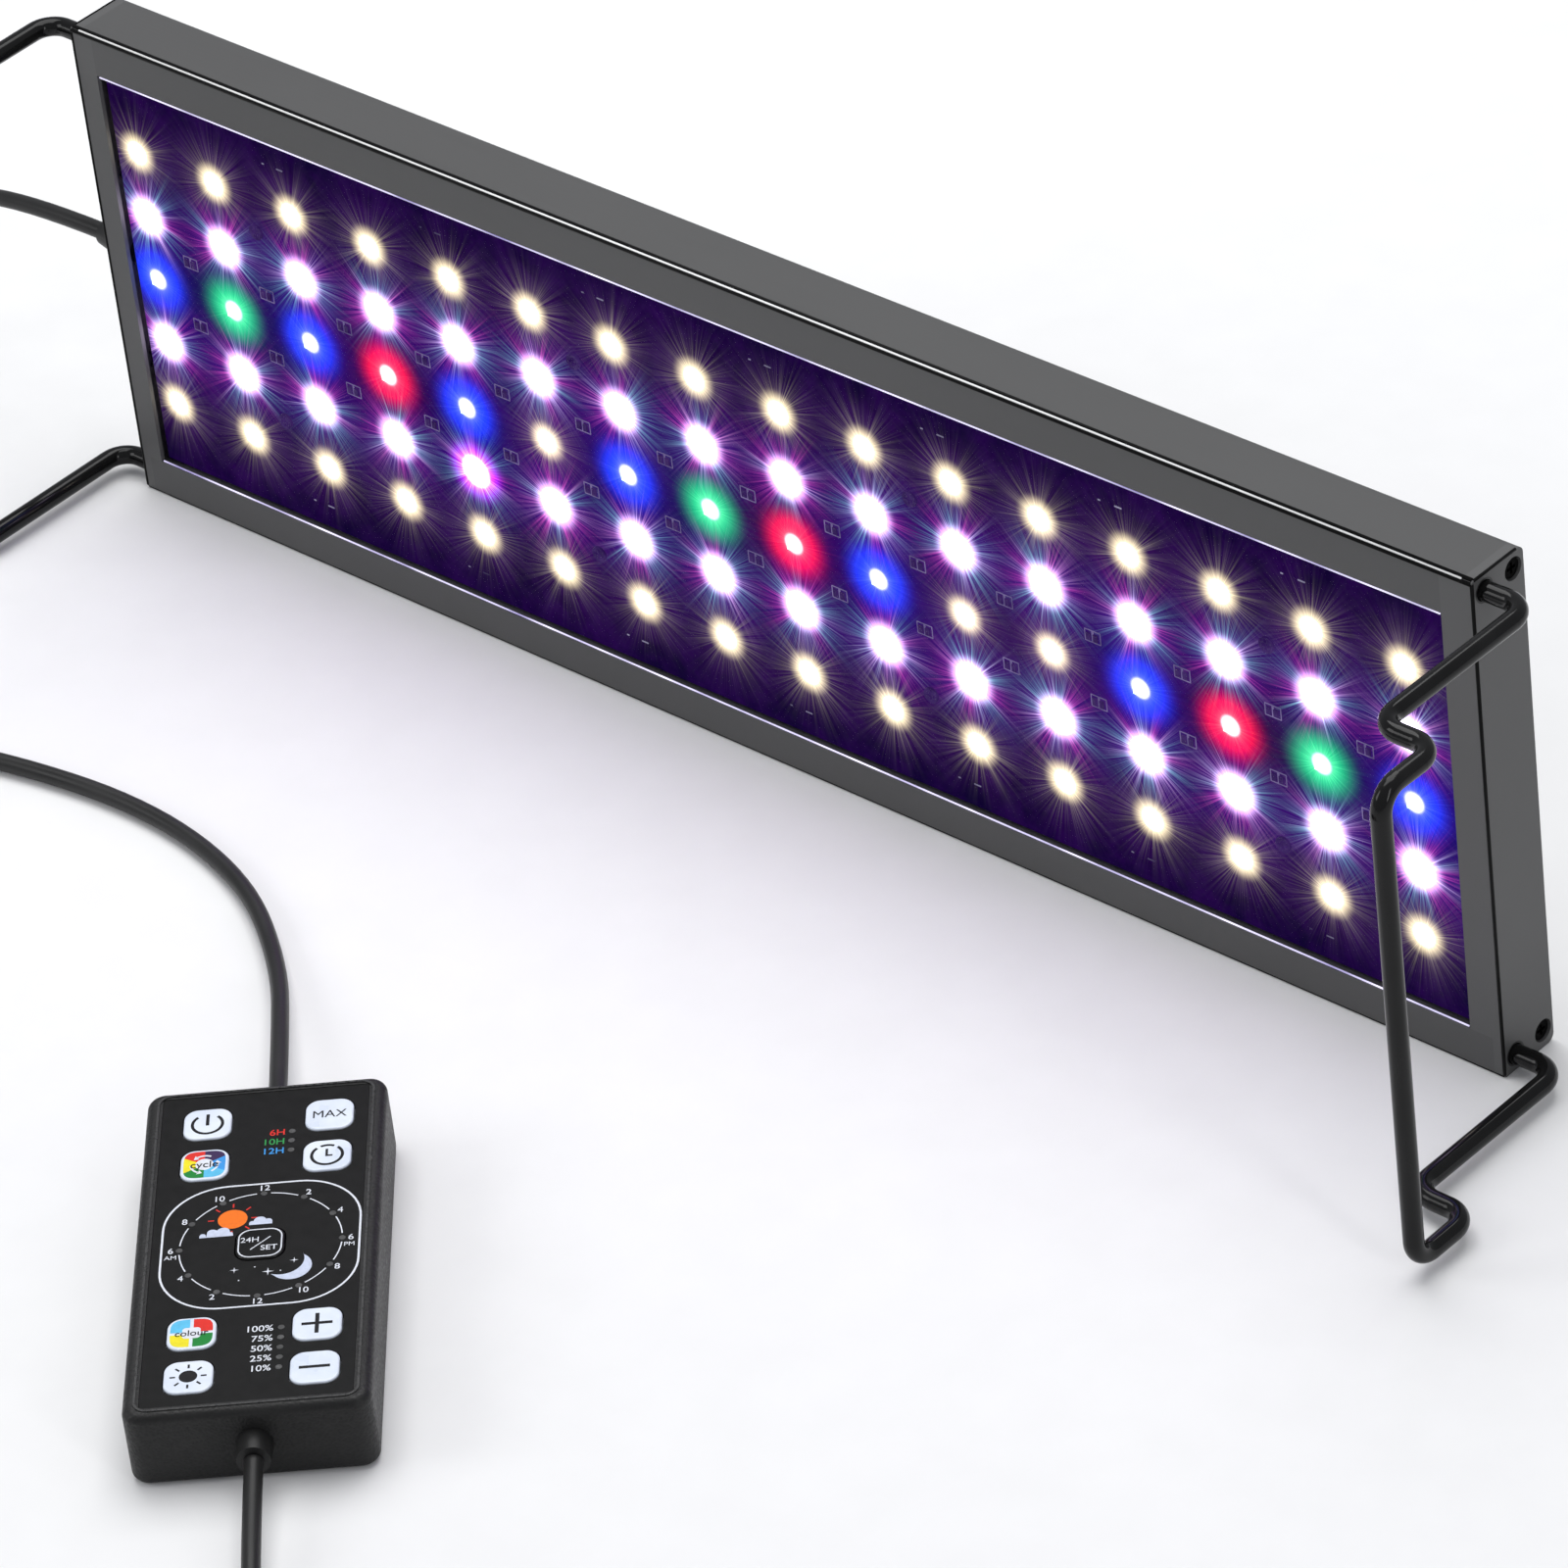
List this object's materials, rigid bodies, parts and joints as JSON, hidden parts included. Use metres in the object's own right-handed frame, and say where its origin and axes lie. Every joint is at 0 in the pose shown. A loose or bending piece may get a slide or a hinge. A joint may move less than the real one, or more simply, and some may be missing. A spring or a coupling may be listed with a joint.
{
  "type": "led aquarium light",
  "caption": "Slim rectangular LED aquarium light with sliding bent-wire rim brackets and an inline keypad controller on its lead.",
  "frame": {"origin": "middle of the long side that the light stands on", "axes": "+X along the light towards its right end, +Z across its width (up as it stands on one long side), -Y is the way the LEDs shine. Over a tank it is turned so that -Y points down and the wire hooks rest on the rim"},
  "size_m": [0.6042, 0.3674, 0.14],
  "materials": {
    "housing_metal": "satin dark grey anodised",
    "cap_plastic": "satin dark grey",
    "rod_black": "gloss black coating",
    "lens_clear": "clear acrylic",
    "seal_rubber": "matt black",
    "board_black": "black solder mask",
    "led_warm_white": "phosphor",
    "led_cool_white": "phosphor",
    "led_blue": "clear resin",
    "led_green": "clear resin",
    "led_red": "clear resin",
    "led_violet": "clear resin",
    "chip_black": "moulded",
    "screw_steel": "black zinc",
    "terminal_green": "moulded",
    "core_wire": "smooth",
    "controller_plastic": "fine leather grain",
    "label_black": "satin overlay",
    "key_white": "satin",
    "key_black": "gloss",
    "control_board": "green solder mask",
    "switch_metal": "tinned",
    "pipe_clear": "clear",
    "cord_rubber": "satin black",
    "contact_nickel": "nickel plated"
  },
  "bodies": {
    "light": {"housing": "housing_metal", "end_cap_left": "cap_plastic", "end_cap_right": "cap_plastic", "wire_bushes": "seal_rubber", "end_cap_screws": "screw_steel", "cover_lens": "lens_clear", "lens_gasket": "seal_rubber", "led_board": "board_black", "board_screws": "screw_steel", "leds_warm_white": "led_warm_white", "leds_cool_white": "led_cool_white", "leds_blue": "led_blue", "leds_green": "led_green", "leds_red": "led_red", "leds_violet": "led_violet", "board_resistors": "chip_black", "terminal_block": "terminal_green", "inner_wires": "core_wire", "cable_gland": "cord_rubber", "controller_top_shell": "controller_plastic", "controller_bottom_shell": "controller_plastic", "controller_face_label": "label_black", "controller_board": "control_board", "tact_switches": "switch_metal", "indicator_leds": "pipe_clear", "indicator_light_pipes": "pipe_clear", "controller_components": "chip_black", "controller_screws": "screw_steel", "relief_light_lead": "cord_rubber", "relief_supply_lead": "cord_rubber", "light_lead_run": "cord_rubber", "light_lead_coil": "cord_rubber", "controller_lead_run": "cord_rubber", "supply_lead_run": "cord_rubber", "supply_lead_coil": "cord_rubber", "jack_lead_run": "cord_rubber", "power_jack_body": "cord_rubber", "power_jack_contacts": "contact_nickel"},
    "bracket_left": {"bracket_wire_left": "rod_black"},
    "bracket_right": {"bracket_wire_right": "rod_black"},
    "key_power": {"button_power": "key_white"},
    "key_max": {"button_max": "key_white"},
    "key_cycle": {"button_cycle": "key_white"},
    "key_timer": {"button_timer": "key_white"},
    "key_set_24h": {"button_set_24h": "key_black"},
    "key_colour": {"button_colour": "key_white"},
    "key_plus": {"button_plus": "key_white"},
    "key_brightness": {"button_brightness": "key_white"},
    "key_minus": {"button_minus": "key_white"}
  },
  "joints": [
    {"name": "left_bracket_slide", "type": "slide", "parent": "light", "child": "bracket_left", "axis": [-1, 0, 0], "range_m": [0, 0.075]},
    {"name": "right_bracket_slide", "type": "slide", "parent": "light", "child": "bracket_right", "axis": [1, 0, 0], "range_m": [0, 0.075]},
    {"name": "power_press", "type": "slide", "parent": "light", "child": "key_power", "axis": [0, 0, -1], "range_m": [0, 0.0005], "stiffness_N_per_m": 1500},
    {"name": "max_press", "type": "slide", "parent": "light", "child": "key_max", "axis": [0, 0, -1], "range_m": [0, 0.0005], "stiffness_N_per_m": 1500},
    {"name": "cycle_press", "type": "slide", "parent": "light", "child": "key_cycle", "axis": [0, 0, -1], "range_m": [0, 0.0005], "stiffness_N_per_m": 1500},
    {"name": "timer_press", "type": "slide", "parent": "light", "child": "key_timer", "axis": [0, 0, -1], "range_m": [0, 0.0005], "stiffness_N_per_m": 1500},
    {"name": "set_24h_press", "type": "slide", "parent": "light", "child": "key_set_24h", "axis": [0, 0, -1], "range_m": [0, 0.0005], "stiffness_N_per_m": 1500},
    {"name": "colour_press", "type": "slide", "parent": "light", "child": "key_colour", "axis": [0, 0, -1], "range_m": [0, 0.0005], "stiffness_N_per_m": 1500},
    {"name": "plus_press", "type": "slide", "parent": "light", "child": "key_plus", "axis": [0, 0, -1], "range_m": [0, 0.0005], "stiffness_N_per_m": 1500},
    {"name": "brightness_press", "type": "slide", "parent": "light", "child": "key_brightness", "axis": [0, 0, -1], "range_m": [0, 0.0005], "stiffness_N_per_m": 1500},
    {"name": "minus_press", "type": "slide", "parent": "light", "child": "key_minus", "axis": [0, 0, -1], "range_m": [0, 0.0005], "stiffness_N_per_m": 1500}
  ]
}
